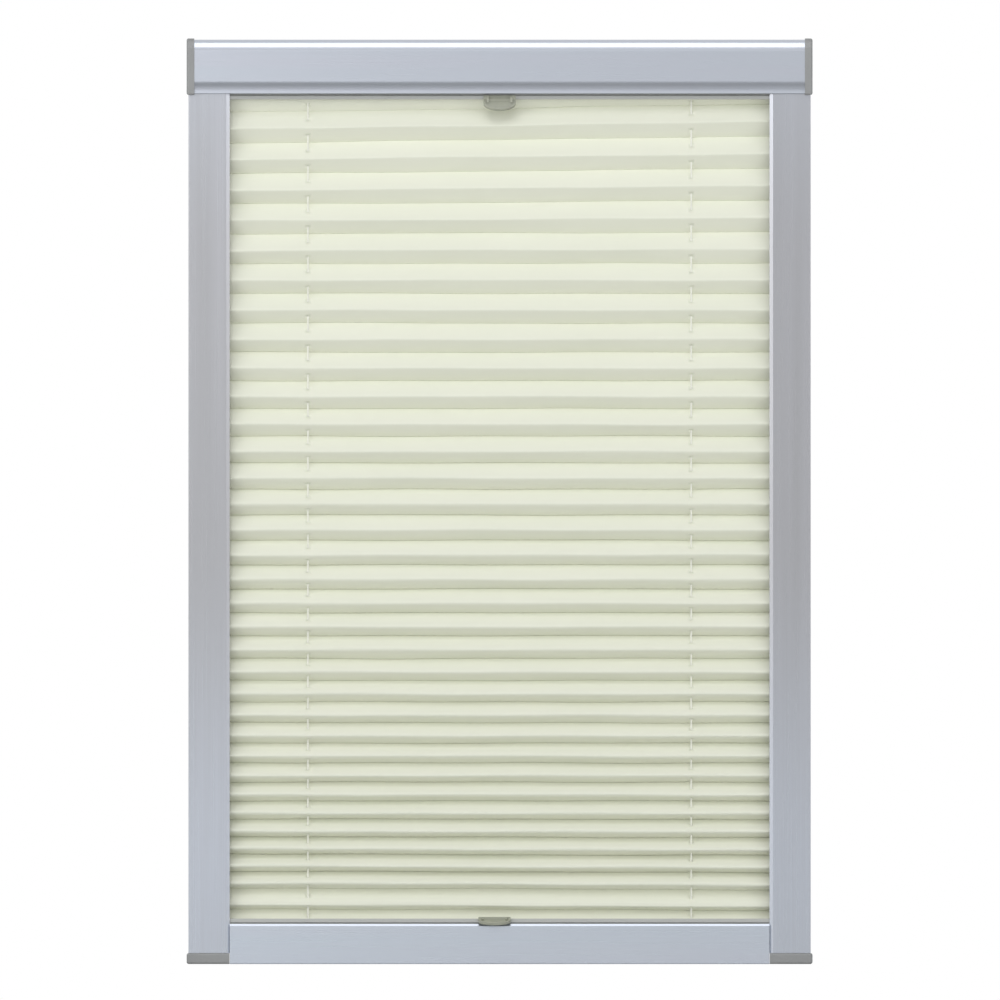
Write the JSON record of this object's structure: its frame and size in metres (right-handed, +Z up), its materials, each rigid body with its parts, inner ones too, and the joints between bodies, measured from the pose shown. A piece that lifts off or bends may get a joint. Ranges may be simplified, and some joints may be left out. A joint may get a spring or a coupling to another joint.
{
  "type": "pleated blind",
  "caption": "Framed pleated blind for a roof window: cream pleated cloth between moving rails on taut cords, inside an aluminium frame with a head cassette.",
  "frame": {"origin": "on the underside of the bottom rail, at the middle of its length, in the plane of the cords", "axes": "+X to the right seen from the room, +Y towards the window pane, +Z up"},
  "size_m": [0.614, 0.0409, 0.908],
  "materials": {
    "frame_aluminium": "satin anodised",
    "cap_plastic": "fine moulded",
    "pleated_fabric": "pleated polyester",
    "cord": "braided",
    "spring_steel": "plain",
    "inner_plastic": "moulded",
    "rail_aluminium": "satin anodised",
    "handle_plastic": "moulded, satin"
  },
  "bodies": {
    "frame": {"head_cassette": "frame_aluminium", "head_end_cap_left": "cap_plastic", "head_end_cap_right": "cap_plastic", "side_rail_left": "frame_aluminium", "side_rail_right": "frame_aluminium", "foot_cap_left": "cap_plastic", "foot_cap_right": "cap_plastic", "bottom_rail": "frame_aluminium", "pleated_cloth": "pleated_fabric", "tension_cord_left": "cord", "tension_cord_right": "cord", "cord_guide_left": "inner_plastic", "cord_guide_right": "inner_plastic", "cord_spring_left": "spring_steel", "cord_spring_right": "spring_steel", "cord_ferrule_left": "spring_steel", "cord_ferrule_right": "spring_steel", "cord_anchor_left": "inner_plastic", "cord_anchor_right": "inner_plastic"},
    "upper_rail": {"upper_moving_rail": "rail_aluminium", "upper_cloth_strip": "inner_plastic", "upper_glide_left": "inner_plastic", "upper_glide_right": "inner_plastic", "upper_cord_bush_left": "inner_plastic", "upper_cord_bush_right": "inner_plastic", "upper_crossing_cord_front": "cord", "upper_crossing_cord_back": "cord", "upper_handle": "handle_plastic"},
    "lower_rail": {"lower_moving_rail": "rail_aluminium", "lower_cloth_strip": "inner_plastic", "lower_glide_left": "inner_plastic", "lower_glide_right": "inner_plastic", "lower_cord_bush_left": "inner_plastic", "lower_cord_bush_right": "inner_plastic", "lower_crossing_cord_front": "cord", "lower_crossing_cord_back": "cord", "lower_handle": "handle_plastic"}
  },
  "joints": [
    {"name": "upper_rail_slide", "type": "slide", "parent": "frame", "child": "upper_rail", "axis": [0, 0, -1], "range_m": [0, 0.37], "deforming": ["pleated_cloth"]},
    {"name": "lower_rail_slide", "type": "slide", "parent": "frame", "child": "lower_rail", "axis": [0, 0, 1], "range_m": [0, 0.37], "deforming": ["pleated_cloth"]}
  ]
}
